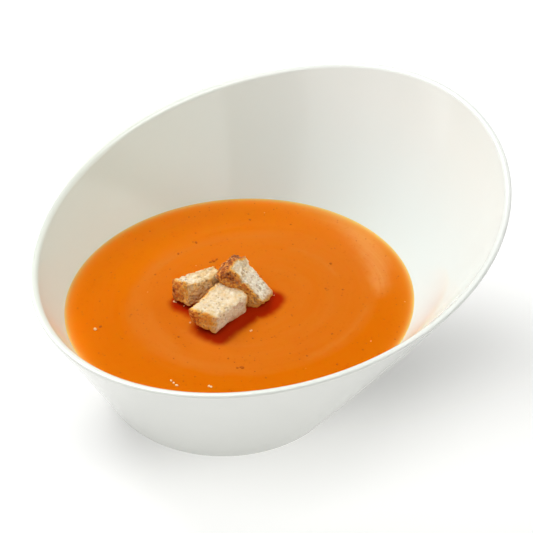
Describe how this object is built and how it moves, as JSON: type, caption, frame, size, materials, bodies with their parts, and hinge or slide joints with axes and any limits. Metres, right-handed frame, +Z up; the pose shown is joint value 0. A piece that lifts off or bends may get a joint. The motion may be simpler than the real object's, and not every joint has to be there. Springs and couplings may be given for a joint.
{
  "type": "tomato soup in a bowl",
  "caption": "Orange tomato soup in a round white porcelain bowl whose rim slants up to one side, with rough toasted bread croutons floating left of the middle.",
  "frame": {"origin": "bottom centre of the whole object's box, on the surface that the foot stands on", "axes": "+Z up; +X from the low side of the slanted rim to its high side; the bowl is symmetric about the XZ plane; the foot's centre lies 20 mm to -X of the origin"},
  "size_m": [0.2164, 0.2106, 0.1142],
  "materials": {
    "porcelain": "smooth white glaze, glossy",
    "tomato_soup": "smooth wet orange liquid with fine specks",
    "toasted_bread": "porous pale crumb with golden to brown toasted edges, matt"
  },
  "bodies": {
    "root": {"bowl": "porcelain", "soup": "tomato_soup", "crouton_front": "toasted_bread", "crouton_left": "toasted_bread", "crouton_back": "toasted_bread"}
  },
  "joints": []
}
